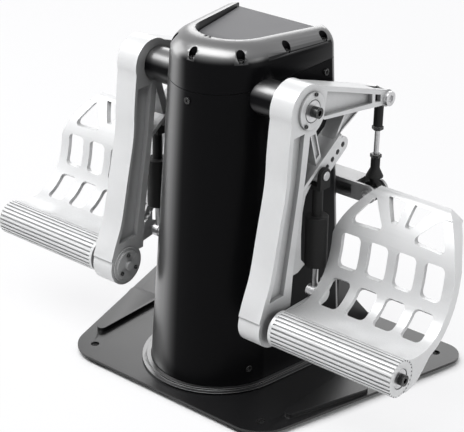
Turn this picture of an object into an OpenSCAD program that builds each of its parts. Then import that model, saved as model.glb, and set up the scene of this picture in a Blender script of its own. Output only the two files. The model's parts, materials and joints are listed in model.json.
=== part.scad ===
// Flight simulator rudder pedals: two pendulum arms hang from a shaft at the top of a column.
// A horn behind each arm pulls a push rod, and a rocker beam behind the column joins both rods.
// X is to the right, Y away from the user, Z up. Rubber feet stand on Z = 0.

/* [Base plate] */
// Width of the plate at its front edge
base_front_w = 249; // [228:1:260]
// Width of the plate at its back edge
base_back_w = 389; // [372:1:410]
// Depth of the plate from front to back
base_d = 252.7; // [247:0.1:262]
// Thickness of the plate
base_t = 2.5; // [2:0.1:4]
// Radius of the plate's two front corners
front_corner_r = 38; // [30:1:44]
// Radius of the plate's two back corners
back_corner_r = 22; // [16:1:30]
// Radius of the mounting holes
base_hole_r = 4.2; // [3:0.1:4.5]
// Distance of each front mounting hole from the plate's side corner
front_hole_edge = 15.8; // [14.5:0.1:20]
// Distance of each rear mounting hole from the plate's side corner
rear_hole_edge = 30.2; // [27.5:0.1:36]
// Distance of each pair of holes from its edge
hole_inset = 22.3; // [20:0.1:26]
// Height of the pressed stiffening pads
pad_rise = 4.5; // [1.5:0.1:5]
// Height of the rubber feet
foot_h = 4.5; // [3:0.1:6]
// Radius of the rubber feet
foot_r = 13; // [11:0.5:15]

/* [Column] */
// Height of the column above the plate
column_h = 339; // [333:1:345]
// Radius of the rounded front at the foot
column_r = 68; // [64:0.5:70]
// Width across the flat back at the foot
column_back_w = 168; // [160:1:172]
// Distance from the shaft back to the flat back
column_back = 87; // [85:0.5:88]
// Distance of the foot's centre in front of the shaft
column_lead = 4.5; // [3:0.5:6]
// Wall of the column and its cap
wall = 3.5; // [2.5:0.1:4.5]
// Drop from the cap's top to its seam at the front
seam_drop = 47; // [43:1:51]
// Rise of the rounded shoulder
shoulder_h = 20; // [16:1:23]
// Radius of the rounded front of the top panel
panel_r = 36; // [33:0.5:38]
// Width of the top panel at the back
panel_back_w = 105; // [98:1:110]
// Depth of the recess that holds the top panel
recess_h = 11; // [9:0.5:12]
// Radius of the cap's screw pockets
pocket_r = 4.1; // [3.6:0.1:4.8]
// Widening of the trim ring round the foot
ring_w = 9; // [5:0.5:10]

/* [Shaft and arms] */
// Distance from the plate's front edge to the shaft
shaft_setback = 93.35; // [89:0.05:98]
// Drop from the cap's top to the shaft
shaft_drop = 49.8; // [47:0.1:54]
// Radius of the shaft
shaft_r = 8; // [6.5:0.1:8.5]
// Inner face of each arm from the middle
arm_in = 81; // [80:0.1:83]
// Thickness of each arm
arm_t = 24.7; // [22:0.1:25]
// Radius of the arm's head
head_r = 25; // [24:0.5:27]
// Drop from the shaft to the heel axle
arm_drop = 197.2; // [190:0.1:203]
// Distance of the heel axle in front of the shaft
heel_lead = 50.2; // [47:0.1:54]
// Radius of the arm's lower boss
boss_r = 21; // [20:0.5:22]
// Depth of the grooves in the arm's faces
groove_t = 4.5; // [3:0.1:6]
// Distance of the horn's pin behind the shaft
horn_back = 118; // [115:0.5:121]
// Distance of the horn's pin below the shaft
horn_fall = 24.2; // [22:0.1:26]
// Radius of the horn's tip
horn_tip_r = 8.5; // [8:0.1:9.5]
// Radius of the horn's pin
horn_pin_r = 3; // [2.5:0.1:3.5]
// Radius of the sleeves between the column and the arms
sleeve_r = 17; // [15:0.5:18]

/* [Foot plates] */
// Middle of each foot plate from the middle of the device
plate_x = 180; // [179:0.1:182]
// Width of each foot plate
plate_w = 135; // [125:0.5:136]
// Thickness of the foot plate
plate_t = 4.5; // [3.5:0.1:5.5]
// Depth of the rim turned back round the plate
rim_d = 10.5; // [8:0.5:11]
// Thickness of the rim
rim_t = 4; // [3:0.1:5]
// Size that the plate's side profile follows, from heel axle to crest
plate_h = 114; // [110:1:117]
// Radius of the ribbed heel bar
heel_r = 17.5; // [16.5:0.1:18.5]
// Radius of the heel axle
axle_r = 6; // [5:0.1:7]
// Width of each opening in the lattice
cell_w = 21.5; // [18:0.5:23]
// Distance between the columns of the lattice
cell_pitch = 30.7; // [29.5:0.1:31]

/* [Linkage and dampers] */
// Distance of each push rod from the middle
rod_x = 96.8; // [96:0.1:97.5]
// Distance of the rocker's bolts from its pivot
rocker_reach = 99.2; // [98:0.1:100]
// Distance of the rocker's middle behind the shaft
rocker_back = 111.5; // [110:0.1:113]
// Drop from the shaft to the rocker's pivot
rocker_drop = 120.7; // [118:0.1:123]
// Depth of the rocker beam from front to back
rocker_d = 23; // [21:0.5:24]
// Height of the rocker beam
rocker_h = 18.5; // [17:0.5:20]
// Radius of the rocker's axle
rocker_axle_r = 7; // [6:0.1:8]
// Radius of the push rods
rod_r = 2.6; // [2:0.1:3.2]
// Distance of each damper from the middle
damper_x = 100.5; // [100:0.1:101]
// Radius of the damper's body
damper_r = 10.8; // [9.5:0.1:11]
// Drop from the shaft to the damper's upper bolt
damper_drop = 69.6; // [68:0.1:72]
// Distance of the damper's upper bolt behind the shaft
damper_back = 19.9; // [18:0.1:21]
// Pitch of the holes in the adjusting rail
rail_pitch = 9.15; // [8.5:0.05:9.5]
// Slope of the adjusting rail in degrees
rail_slope = 33; // [30:0.5:36]

/* [Hidden] */
$fn = 48;

// Clearances: an overrun for cuts, a running fit, a seat within one body and a gap between bodies
over = 2;
run_gap = 0.05;
seat_gap = 0.02;
side_gap = 0.3;

// Places worked out from the driving sizes
base_top = foot_h + base_t;
front_hole_x = base_front_w / 2 - front_hole_edge;
rear_hole_x = base_back_w / 2 - rear_hole_edge;
shaft_y = shaft_setback - base_d / 2;
shaft_z = base_top + column_h - shaft_drop;
seam_z = column_h - seam_drop;
column_y = shaft_y + column_back;
foot_axis_y = shaft_y - column_lead;
arm_out = arm_in + arm_t;
heel_y = -heel_lead;
heel_z = -arm_drop;
plate_in = plate_x - plate_w / 2;
plate_out = plate_x + plate_w / 2;
rocker_y = shaft_y + rocker_back;
rocker_z = shaft_z - rocker_drop;

// Colours
black = [0.05, 0.05, 0.055];
dark = [0.14, 0.14, 0.15];
silver = [0.82, 0.83, 0.84];
steel = [0.55, 0.56, 0.58];
rubber = [0.03, 0.03, 0.03];
green = [0.05, 0.3, 0.12];
brass = [0.75, 0.6, 0.3];

// A solid drawn in the Y-Z plane and carried along X
module along_x(x0, x1) {
    translate([x0, 0, 0])
        rotate([90, 0, 90])
            linear_extrude(x1 - x0)
                children();
}

// A solid drawn in the X-Z plane and carried along Y
module along_y(y0, y1) {
    translate([0, y1, 0])
        rotate([90, 0, 0])
            linear_extrude(y1 - y0)
                children();
}

module bar_x(r, x0, x1) {
    translate([x0, 0, 0])
        rotate([0, 90, 0])
            cylinder(r = r, h = x1 - x0);
}

module bar_y(r, y0, y1) {
    translate([0, y1, 0])
        rotate([90, 0, 0])
            cylinder(r = r, h = y1 - y0);
}

module bar_z(r, z0, z1) {
    translate([0, 0, z0])
        cylinder(r = r, h = z1 - z0);
}

module box(low, high) {
    translate(low)
        cube(high - low);
}

module at_shaft() {
    translate([0, shaft_y, shaft_z])
        children();
}

module at_heel() {
    translate([0, shaft_y + heel_y, shaft_z + heel_z])
        children();
}

module at_damper() {
    translate([damper_x, shaft_y + damper_back, shaft_z - damper_drop])
        children();
}

module at_rocker() {
    translate([0, rocker_y, rocker_z])
        children();
}

module on_left() {
    mirror([1, 0, 0])
        children();
}

module both_sides() {
    children();
    on_left()
        children();
}

// A socket screw along X: a head with a hexagon hole, and a shank into what it holds
module socket_screw(head_r, head_h, shank_r, shank_h) {
    hex_share = 0.55;
    difference() {
        union() {
            bar_x(head_r, 0, head_h);
            bar_x(shank_r, -shank_h, over);
        }
        translate([head_h / 2, 0, 0])
            rotate([0, 90, 0])
                cylinder(r = head_r * hex_share, h = head_h, $fn = 6);
    }
}

// Points of an open curve that runs smoothly through the points p
function smooth(p, n) =
    let (last = len(p) - 1)
    [for (i = [0:last - 1])
        for (j = [0:n - 1])
            let (t = j / n,
                a = p[max(i - 1, 0)],
                b = p[i],
                c = p[i + 1],
                d = p[min(i + 2, last)])
            ((b * 2) + (c - a) * t + (a * 2 - b * 5 + c * 4 - d) * t * t
                + (b * 3 - a - c * 3 + d) * t * t * t) / 2,
     p[last]];

// The arc that rounds the corner at b between a and c
function corner(a, b, c, r, n) =
    let (u = (a - b) / norm(a - b),
        v = (c - b) / norm(c - b),
        half = acos(u * v) / 2,
        o = b + (u + v) / norm(u + v) * r / sin(half),
        p = b + u * r / tan(half) - o,
        q = b + v * r / tan(half) - o,
        a0 = atan2(p.y, p.x),
        turn = (atan2(q.y, q.x) - a0 + 540) % 360 - 180)
    [for (i = [0:n]) o + r * [cos(a0 + turn * i / n), sin(a0 + turn * i / n)]];

// A closed outline with every corner rounded to r
function rounded(p, r, n = 6) =
    let (k = len(p))
    [for (i = [0:k - 1]) each corner(p[(i + k - 1) % k], p[i], p[(i + 1) % k], r, n)];

// A curve moved sideways by d, to the left of its direction
function beside(p, d) =
    let (last = len(p) - 1)
    [for (i = [0:last])
        let (t = p[min(i + 1, last)] - p[max(i - 1, 0)])
        p[i] + [-t.y, t.x] / norm(t) * d];

function reversed(p) = [for (i = [len(p) - 1:-1:0]) p[i]];

// The column's section: a round front of radius r about [0, c], straight sides and a flat
// back at y = yb of half width w, clockwise from the right back corner
column_corner_r = 6;
function section(r, c, w, yb, rc = column_corner_r, n = 36) =
    let (span = norm([w, yb - c]),
        a0 = atan2(yb - c, w) - acos(r / span),
        t = [r * cos(a0), c + r * sin(a0)],
        m = [-t.x, t.y],
        sweep = 180 + 2 * a0)
    concat(
        corner([-w, yb], [w, yb], t, rc, 4),
        [for (i = [0:n]) [0, c] + r * [cos(a0 - sweep * i / n), sin(a0 - sweep * i / n)]],
        corner(m, [-w, yb], [w, yb], rc, 4));

// The column narrows upwards about its flat back, by this share over its height
taper_share = 0.2;
function column_at(z, inset = 0, back = 0) =
    let (s = 1 - taper_share * z / column_h)
    section(column_r * s - inset, column_y - (column_y - foot_axis_y) * s,
        column_back_w / 2 * s - inset, column_y + back, column_corner_r);

// The outline of the recess that holds the top panel
panel_lag = 24.5;
panel_axis_y = foot_axis_y + panel_lag;
function panel_at(inset = 0, back = 0) =
    section(panel_r - inset, panel_axis_y, panel_back_w / 2 - inset, column_y + back, column_corner_r);

// A closed skin through rings of 3-D points that run clockwise, lowest ring first
module loft(rings) {
    n = len(rings[0]);
    m = len(rings);
    polyhedron(
        points = [for (ring = rings) each ring],
        faces = concat(
            [[for (k = [n - 1:-1:0]) k]],
            [[for (k = [0:n - 1]) (m - 1) * n + k]],
            [for (j = [0:m - 2])
                for (k = [0:n - 1])
                    [j * n + k, j * n + (k + 1) % n, (j + 1) * n + (k + 1) % n]],
            [for (j = [0:m - 2])
                for (k = [0:n - 1])
                    [j * n + k, (j + 1) * n + (k + 1) % n, (j + 1) * n + k]]),
        convexity = 8);
}

function lifted(ring, z) = [for (p = ring) [p.x, p.y, z]];

// Base plate: a trapezoid with rounded corners and two pressed pads
pad_corner_r = 5;
pad_point_shares = [[0.304, -0.43], [0.405, 0.013], [0.305, 0.024]];
module base_outline() {
    front = [base_front_w / 2, -base_d / 2];
    back = [base_back_w / 2, base_d / 2];
    right = concat(corner([-front.x, front.y], front, back, front_corner_r, 12),
        corner(front, back, [-back.x, back.y], back_corner_r, 10));
    polygon(concat(right, [for (p = reversed(right)) [-p.x, p.y]]));
}

module pad_outline() {
    polygon(rounded([for (p = pad_point_shares) [p.x * base_back_w, p.y * base_d]], pad_corner_r, 8));
}

module base_plate() {
    color(black)
        difference() {
            union() {
                translate([0, 0, foot_h])
                    linear_extrude(base_t)
                        base_outline();
                both_sides()
                    translate([0, 0, foot_h])
                        linear_extrude(base_t + pad_rise)
                            pad_outline();
            }
            both_sides() {
                translate([front_hole_x, hole_inset - base_d / 2, 0])
                    bar_z(base_hole_r, 0, base_top + over);
                translate([rear_hole_x, base_d / 2 - hole_inset, 0])
                    bar_z(base_hole_r, 0, base_top + over);
            }
        }
}

// Rubber feet: four pads near the corners
foot_edge = 3;
module rubber_feet() {
    color(rubber)
        both_sides() {
            translate([front_hole_x - base_hole_r - foot_r - side_gap, foot_r + foot_edge - base_d / 2, 0])
                rotate_extrude()
                    foot_profile();
            translate([rear_hole_x, base_d / 2 - hole_inset - base_hole_r - foot_r - foot_edge, 0])
                rotate_extrude()
                    foot_profile();
        }
}

module foot_profile() {
    chamfer = foot_h / 4;
    polygon([[0, 0], [foot_r - chamfer, 0], [foot_r, chamfer], [foot_r, foot_h], [0, foot_h]]);
}

// Foot ring: two steps of trim round the column's foot
ring_h = 4;
ring_step = 2.2;
module foot_ring() {
    ring_inner = section(column_r + seat_gap, foot_axis_y, column_back_w / 2 + seat_gap, column_y);
    color(dark)
        difference() {
            union() {
                translate([0, 0, base_top])
                    linear_extrude(ring_step)
                        polygon(section(column_r + ring_w, foot_axis_y,
                            column_back_w / 2 + ring_w, column_y));
                translate([0, 0, base_top])
                    linear_extrude(ring_h)
                        polygon(section(column_r + ring_w / 2, foot_axis_y,
                            column_back_w / 2 + ring_w / 2, column_y));
            }
            translate([0, 0, base_top - over])
                linear_extrude(ring_h + 2 * over)
                    polygon(ring_inner);
        }
}

// Rear braces: two curved webs from the column's back down to the plate, each on a foot
brace_inset = 11;
brace_in = column_back_w / 2 - brace_inset;
brace_t = 5;
brace_h_share = 0.242;
brace_h = column_h * brace_h_share;
brace_reach = 63;
brace_foot_w = 16;
module rear_braces() {
    edge = smooth([[0, brace_h], [brace_reach * 0.28, brace_h * 0.79], [brace_reach * 0.41, brace_h * 0.55],
        [brace_reach * 0.82, brace_h * 0.18], [brace_reach, base_t]], 5);
    color(black)
        both_sides()
            difference() {
                translate([0, column_y, base_top])
                    union() {
                        along_x(brace_in, brace_in + brace_t)
                            polygon(concat([[0, 0]], edge, [[brace_reach, 0]]));
                        box([brace_in - brace_foot_w + brace_t, 0, 0], [brace_in + brace_t, brace_reach, base_t]);
                        box([brace_in - brace_foot_w + brace_t, 0, 0], [brace_in + brace_t, base_t, brace_h]);
                    }
                brace_bolt_places()
                    bar_z(brace_bolt_r + seat_gap, -over, base_t + over);
            }
}

// Bolts that hold the braces to the plate
brace_bolt_r = 2.5;
brace_head_r = 4;
brace_head_h = 3;
module brace_bolt_places() {
    for (share = [0.3, 0.8])
        translate([brace_in - (brace_foot_w - brace_t) / 2, column_y + brace_reach * share, base_top])
            children();
}

module brace_bolts() {
    color(steel)
        both_sides()
            brace_bolt_places()
                translate([0, 0, base_t])
                    rotate([0, -90, 0])
                        socket_screw(brace_head_r, brace_head_h, brace_bolt_r, base_t);
}

// The seam between shell and cap: a plane that rises towards the back
seam_slope = 5.6;
seam_gap = 0.6;
module above_seam(lift) {
    translate([0, foot_axis_y - column_r, base_top + seam_z + lift])
        rotate([seam_slope, 0, 0])
            translate([-column_back_w, -column_r, 0])
                cube([2 * column_back_w, 4 * column_r, column_h]);
}

module sleeve_holes() {
    at_shaft()
        bar_x(sleeve_r + side_gap, -arm_in, arm_in);
}

// Column shell: a hollow tapering casing, open at the back for the rear panel
shell_top = column_h - shoulder_h;
module column_shell() {
    color(black)
        difference() {
            translate([0, 0, base_top])
                loft([lifted(column_at(0), 0), lifted(column_at(shell_top), shell_top)]);
            translate([0, 0, base_top])
                loft([lifted(column_at(0, wall, column_corner_r), -over),
                    lifted(column_at(shell_top, wall, column_corner_r), shell_top + over)]);
            above_seam(-seam_gap);
            sleeve_holes();
            shell_screw_places() {
                bar_z(casing_screw_r + seat_gap, -wall - over, over);
                bar_z(casing_head_r + side_gap, -spot_face, over);
            }
        }
}

// Shoulder of the cap: a quarter ellipse from the column's side in to the panel's recess
rim_fall_share = 0.05;
shoulder_steps = 9;
function shoulder(a) =
    let (z0 = column_h - shoulder_h,
        z1 = z0 + shoulder_h * sin(a),
        outer = column_at(z1),
        inner = panel_at())
    [for (k = [0:len(outer) - 1])
        let (p = outer[k] * cos(a) + inner[k] * (1 - cos(a)))
        [p.x, p.y, z1 - rim_fall_share * (p.y - panel_axis_y + panel_r) * sin(a)]];

module cap_outside() {
    translate([0, 0, base_top])
        loft(concat(
            [lifted(column_at(seam_z - wall), seam_z - wall)],
            [for (i = [0:shoulder_steps]) shoulder(90 * i / shoulder_steps)]));
}

boss_h = 7;
module cap_hollow() {
    roof = column_h - recess_h - wall;
    low = column_h - shoulder_h - wall;
    translate([0, 0, base_top]) {
        loft([lifted(column_at(seam_z - wall, wall, column_corner_r), seam_z - wall - over),
            lifted(column_at(low, wall, column_corner_r), low)]);
        intersection() {
            loft([lifted(column_at(low, wall), low - over), lifted(column_at(low + wall, wall), low + wall),
                lifted(panel_at(-wall), roof)]);
            box([-column_back_w, foot_axis_y - 2 * column_r, 0], [column_back_w, column_y - wall, column_h]);
        }
    }
}

module top_cap() {
    color(black)
        difference() {
            union() {
                difference() {
                    cap_outside();
                    cap_hollow();
                }
                intersection() {
                    cap_outside();
                    cap_screw_places()
                        bar_z(pocket_r + wall / 2, -boss_h, shoulder_h);
                }
            }
            translate([0, 0, base_top + column_h - recess_h])
                linear_extrude(recess_h + over)
                    polygon(panel_at(0, column_corner_r));
            difference() {
                box([-column_back_w, foot_axis_y - 2 * column_r, 0],
                    [column_back_w, column_y + column_r, base_top + column_h]);
                above_seam(0);
            }
            sleeve_holes();
            cap_screw_places() {
                bar_z(pocket_r, 0, shoulder_h + over);
                bar_z(casing_screw_r + seat_gap, -wall - over, over);
            }
        }
}

// Top panel: a plain plate in the cap's recess, with a step along its edge
panel_t = 2.5;
panel_gap = 0.4;
panel_step = 1.6;
module panel_plate(inset) {
    intersection() {
        polygon(panel_at(inset, column_corner_r));
        translate([-column_back_w, -base_d])
            square([2 * column_back_w, base_d + column_y - inset]);
    }
}

module top_panel() {
    translate([0, 0, base_top + column_h - recess_h])
        color(dark) {
            linear_extrude(panel_t / 2)
                panel_plate(panel_gap);
            translate([0, 0, panel_t / 2])
                linear_extrude(panel_t / 2)
                    panel_plate(panel_step);
        }
}

// Rear panel: the flat cover that closes the column's back
rear_top = column_h - shoulder_h - wall - side_gap;
rear_hole_r = 12;
function back_half_w(z) = column_back_w / 2 * (1 - taper_share * z / column_h);
module rear_panel() {
    edge = wall + side_gap;
    color(dark)
        difference() {
            translate([0, 0, base_top])
                along_y(column_y - wall, column_y)
                    polygon([[-back_half_w(0) + edge + column_corner_r, ring_step],
                        [back_half_w(0) - edge - column_corner_r, ring_step],
                        [back_half_w(rear_top) - edge - column_corner_r, rear_top],
                        [-back_half_w(rear_top) + edge + column_corner_r, rear_top]]);
            at_rocker()
                bar_y(rear_hole_r, -column_r, column_r);
            socket_place()
                box([-socket_w / 2 - side_gap, -over, -socket_h / 2 - side_gap],
                    [socket_w / 2 + side_gap, wall + over, socket_h / 2 + side_gap]);
            rear_screw_places()
                bar_y(casing_screw_r + seat_gap, -wall - over, over);
        }
}

// Screws of the casing: seven in the cap's pockets, one in front, and those of the rear panel
casing_screw_r = 1.5;
casing_head_r = 3.2;
casing_head_h = 2.4;
pocket_floor_z = column_h - 15.5;
rear_screw_shares = [0.3, 0.52, 0.74, 0.95];
pocket_inset = 4.7;
pocket_depth_shares = [0.1, 0.45, 0.815];
function half_w_at(y, z, inset) =
    let (s = 1 - taper_share * z / column_h,
        r = column_r * s - inset,
        c = column_y - (column_y - foot_axis_y) * s,
        w = column_back_w / 2 * s - inset,
        a0 = atan2(column_y - c, w) - acos(r / norm([w, column_y - c])),
        t = [r * cos(a0), c + r * sin(a0)])
    y < t.y ? sqrt(r * r - (y - c) * (y - c)) : t.x + (w - t.x) * (y - t.y) / (column_y - t.y);

module cap_screw_places() {
    z = pocket_floor_z;
    depth = (column_y - foot_axis_y + column_r) * (1 - taper_share * z / column_h);
    translate([0, column_y - depth + pocket_inset, base_top + z])
        children();
    for (share = pocket_depth_shares)
        for (side = [-1, 1])
            translate([side * half_w_at(column_y - depth * share, z, pocket_inset),
                column_y - depth * share, base_top + z])
                children();
}

spot_face = 0.8;
side_screw_back = 15;
foot_screw_rise = 20;
foot_screw_angle = 25;
module shell_screw_places() {
    front_z = seam_z - casing_head_r * 2;
    front_share = 1 - taper_share * front_z / column_h;
    foot_share = 1 - taper_share * foot_screw_rise / column_h;
    translate([0, column_y - (column_y - foot_axis_y + column_r) * front_share, base_top + front_z])
        rotate([90, 0, 0])
            children();
    both_sides() {
        translate([half_w_at(column_y - side_screw_back, seam_z + casing_head_r, 0), column_y - side_screw_back,
            base_top + seam_z + casing_head_r])
            rotate([0, 90, 0])
                children();
        translate([0, column_y - (column_y - foot_axis_y) * foot_share, base_top + foot_screw_rise])
            rotate([0, 90, -foot_screw_angle])
                translate([0, 0, column_r * foot_share])
                    children();
    }
}

module rear_screw_places() {
    for (side = [-1, 1])
        for (share = rear_screw_shares)
            translate([side * (back_half_w(rear_top * share) - wall - column_corner_r - casing_head_r * 2),
                column_y, base_top + rear_top * share])
                children();
}

module casing_screws() {
    color(steel) {
        cap_screw_places()
            rotate([0, -90, 0])
                socket_screw(casing_head_r, casing_head_h, casing_screw_r, wall);
        shell_screw_places()
            translate([0, 0, -spot_face])
                rotate([0, -90, 0])
                    socket_screw(casing_head_r, casing_head_h, casing_screw_r, wall - spot_face);
        rear_screw_places()
            rotate([0, 0, 90])
                socket_screw(casing_head_r, casing_head_h, casing_screw_r, wall);
    }
}

// Chassis: two upright plates on a floor, tied across, that carry the shaft and the rocker's bracket
chassis_in = 38;
chassis_t = 4;
chassis_h = column_h - 33;
chassis_front = 14;
module chassis_frame() {
    y0 = shaft_y - chassis_front;
    y1 = column_y - wall - side_gap;
    tie_t = chassis_t;
    color(steel)
        difference() {
            union() {
                both_sides()
                    box([chassis_in, y0, base_top], [chassis_in + chassis_t, y1, base_top + chassis_h]);
                box([-chassis_in, y0, base_top], [chassis_in, y1, base_top + chassis_t]);
                box([-chassis_in, y0, base_top + chassis_h - tie_t], [chassis_in, y1, base_top + chassis_h]);
                box([-chassis_in, y1 - tie_t, rocker_z - rocker_flange_r],
                    [chassis_in, y1, rocker_z + rocker_flange_r]);
                box([-chassis_in, board_y, rocker_z - rocker_flange_r],
                    [chassis_in, board_y + tie_t, rocker_z + rocker_flange_r]);
            }
            at_shaft()
                bar_x(shaft_r + seat_gap, -arm_in, arm_in);
            at_rocker()
                bar_y(rear_hole_r, column_y - wall - rocker_y - chassis_t * 3, over);
        }
}

// Pivot shaft: one round bar right across, that both arms swing on
shaft_end = arm_out - side_gap;
module pivot_shaft() {
    color(steel)
        at_shaft()
            difference() {
                bar_x(shaft_r, -shaft_end, shaft_end);
                both_sides()
                    bar_x(end_screw_r + seat_gap, shaft_end - end_screw_l, shaft_end + over);
            }
}

// Sleeves: black tubes from the chassis out to the arms
module shaft_sleeves() {
    color(black)
        both_sides()
            at_shaft()
                difference() {
                    bar_x(sleeve_r, chassis_in + chassis_t, arm_in - side_gap);
                    bar_x(shaft_r + seat_gap, chassis_in, arm_in);
                }
}

// Washer and socket screw on each end of the shaft
washer_r = 10;
washer_t = 2.6;
end_screw_r = 3;
end_screw_l = 14;
end_head_r = 5.2;
end_head_h = 7.5;
module shaft_screws() {
    color(steel)
        both_sides()
            at_shaft() {
                difference() {
                    bar_x(washer_r, shaft_end, shaft_end + washer_t);
                    bar_x(end_screw_r + seat_gap, shaft_end - over, shaft_end + washer_t + over);
                }
                translate([shaft_end + washer_t, 0, 0])
                    socket_screw(end_head_r, end_head_h, end_screw_r, end_screw_l - over);
            }
}

// Rocker bracket: a flange on the column's back with a bearing barrel
rocker_flange_r = 30;
flange_t = 4;
barrel_r = 15;
bearing_r = 11.5;
bearing_t = 6;
rocker_gap = 1.2;
module rocker_bracket() {
    y0 = column_y - rocker_y;
    y1 = -rocker_d / 2 - rocker_gap;
    color(dark)
        at_rocker()
            difference() {
                union() {
                    bar_y(rocker_flange_r, y0, y0 + flange_t);
                    bar_y(barrel_r, y0, y1);
                    bar_y(rear_hole_r - side_gap, y0 - wall - side_gap, y0 + over);
                    both_sides()
                        box([stop_x - stop_w / 2, y0, stop_z - flange_t], [stop_x + stop_w / 2, stop_y, stop_z]);
                    box([-stop_x, y0, stop_z - flange_t], [stop_x, y0 + flange_t, 0]);
                }
                bar_y(rocker_axle_r + side_gap, y0 - column_r, y1 + over);
                bar_y(bearing_r + seat_gap, y1 - bearing_t, y1 + over);
            }
}

// Bearing that carries the rocker's axle in the bracket, and one in the chassis
module bearing_y(y0, y1, bore, outside) {
    difference() {
        bar_y(outside, y0, y1);
        bar_y(bore, y0 - over, y1 + over);
    }
}

module rocker_bearings() {
    y1 = -rocker_d / 2 - rocker_gap;
    y2 = column_y - wall - side_gap - rocker_y;
    color(steel)
        at_rocker() {
            bearing_y(y1 - bearing_t, y1, rocker_axle_r + run_gap, bearing_r);
            bearing_y(y2 - chassis_t, y2, rocker_axle_r + run_gap, rear_hole_r - seat_gap);
        }
}

// Centring spring: a coil round the rocker's axle inside the column
coil_out_r = 14;
coil_in_r = 10;
coil_l = 22;
module centring_spring() {
    y2 = column_y - wall - side_gap - chassis_t - rocker_y;
    color(steel)
        at_rocker()
            bearing_y(y2 - coil_l, y2, coil_in_r, coil_out_r);
}

// Sensor: a magnet on the axle's inner end faces a small board on the chassis
board_setback = 72;
board_y = column_y - board_setback;
board_w = 34;
board_t = 1.6;
chip_w = 5;
module sensor_board() {
    color(green)
        translate([0, board_y + chassis_t, rocker_z])
            union() {
                box([-board_w / 2, 0, -board_w / 2], [board_w / 2, board_t, board_w / 2]);
                box([-chip_w / 2, board_t, -chip_w / 2], [chip_w / 2, 2 * board_t, chip_w / 2]);
            }
}

magnet_t = 4;
magnet_gap = 2;
axle_front = board_y + chassis_t + 2 * board_t + magnet_gap - rocker_y;
module sensor_magnet() {
    color(steel)
        at_rocker()
            bar_y(rocker_axle_r - rod_r, axle_front, axle_front + magnet_t);
}

// Cable socket low on the rear panel
socket_w = 15;
socket_h = 13;
socket_rise = 30;
socket_depth = 12;
module socket_place() {
    translate([0, column_y - wall, base_top + socket_rise])
        children();
}

module cable_socket() {
    lip = base_t;
    color(dark)
        socket_place()
            difference() {
                union() {
                    box([-socket_w / 2, wall - socket_depth, -socket_h / 2], [socket_w / 2, wall, socket_h / 2]);
                    box([-socket_w / 2 - lip, wall, -socket_h / 2 - lip],
                        [socket_w / 2 + lip, wall + board_t, socket_h / 2 + lip]);
                }
                box([-socket_w / 2 + lip, wall + lip - socket_depth, -socket_h / 2 + lip],
                    [socket_w / 2 - lip, wall + socket_depth, socket_h / 2 - lip]);
            }
}

// Rubber stops on the bracket, under the beam, that end the swing
stop_x = 34;
stop_w = 12;
stop_h = 5;
stop_y = 3;
stop_z = -27.5;
module swing_stops() {
    color(rubber)
        at_rocker()
            both_sides()
                translate([stop_x, -stop_w / 4 + stop_y - stop_w / 4, stop_z])
                    bar_z(stop_w / 2 - side_gap, 0, stop_h);
}

// Rocker beam: a deep channel section whose forked ends hold the push rods' eyes
rocker_half = rocker_reach + 8.6;
fork_l = 24;
fork_gap = 17;
beam_wall = 4;
hub_r = 13;
module rocker_beam() {
    y0 = -rocker_d / 2;
    y1 = rocker_d / 2;
    end_r = rocker_h / 2 - side_gap;
    color(silver)
        at_rocker()
            difference() {
                union() {
                    along_y(y0, y1)
                        polygon(rounded([[-rocker_half, -rocker_h / 2], [rocker_half, -rocker_h / 2],
                            [rocker_half, rocker_h / 2], [-rocker_half, rocker_h / 2]], end_r, 8));
                    bar_y(hub_r, y0, y1);
                }
                both_sides() {
                    box([rocker_half - fork_l, -fork_gap / 2, -rocker_h], [rocker_half + over, fork_gap / 2, rocker_h]);
                    box([hub_r + beam_wall, y0 - over, beam_wall - rocker_h / 2],
                        [rocker_half - fork_l - beam_wall, -beam_wall / 2, rocker_h / 2 - beam_wall]);
                    box([hub_r + beam_wall, beam_wall / 2, beam_wall - rocker_h / 2],
                        [rocker_half - fork_l - beam_wall, y1 + over, rocker_h / 2 - beam_wall]);
                    translate([rocker_reach, 0, 0])
                        bar_y(rod_bolt_r + seat_gap, y0 - over, y1 + over);
                }
                bar_y(rocker_axle_r + seat_gap, y0 - over, y1 + over);
            }
}

module rocker_axle() {
    color(steel)
        at_rocker()
            difference() {
                bar_y(rocker_axle_r, axle_front + magnet_t, rocker_d / 2);
                bar_y(end_screw_r + seat_gap, rocker_d / 2 - end_screw_l, rocker_d / 2 + over);
            }
}

module rocker_screw() {
    color(steel)
        at_rocker()
            translate([0, rocker_d / 2, 0])
                rotate([0, 0, 90]) {
                    difference() {
                        bar_x(washer_r, 0, washer_t);
                        bar_x(end_screw_r + seat_gap, -over, washer_t + over);
                    }
                    translate([washer_t, 0, 0])
                        socket_screw(end_head_r, end_head_h / 2, end_screw_r, end_screw_l - over);
                }
}

// Bolts through the beam's forks, each with a ball that sits inside a push rod's eye
rod_bolt_r = 3;
rod_ball_r = 4.2;
rod_head_h = 3.5;
module rod_bolts() {
    color(steel)
        at_rocker()
            both_sides()
                translate([rocker_reach, 0, 0]) {
                    difference() {
                        union() {
                            bar_y(rod_bolt_r, -rocker_d / 2, rocker_d / 2 + over);
                            bar_y(end_head_r, -rocker_d / 2 - rod_head_h, -rocker_d / 2);
                            bar_y(end_head_r, rocker_d / 2, rocker_d / 2 + rod_head_h);
                            bar_y(rod_ball_r, -rod_ball_r, rod_ball_r);
                        }
                        translate([0, -rocker_d / 2 - rod_head_h / 2, 0])
                            rotate([90, 0, 0])
                                cylinder(r = rod_bolt_r, h = rod_head_h, $fn = 6);
                    }
                }
}

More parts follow.
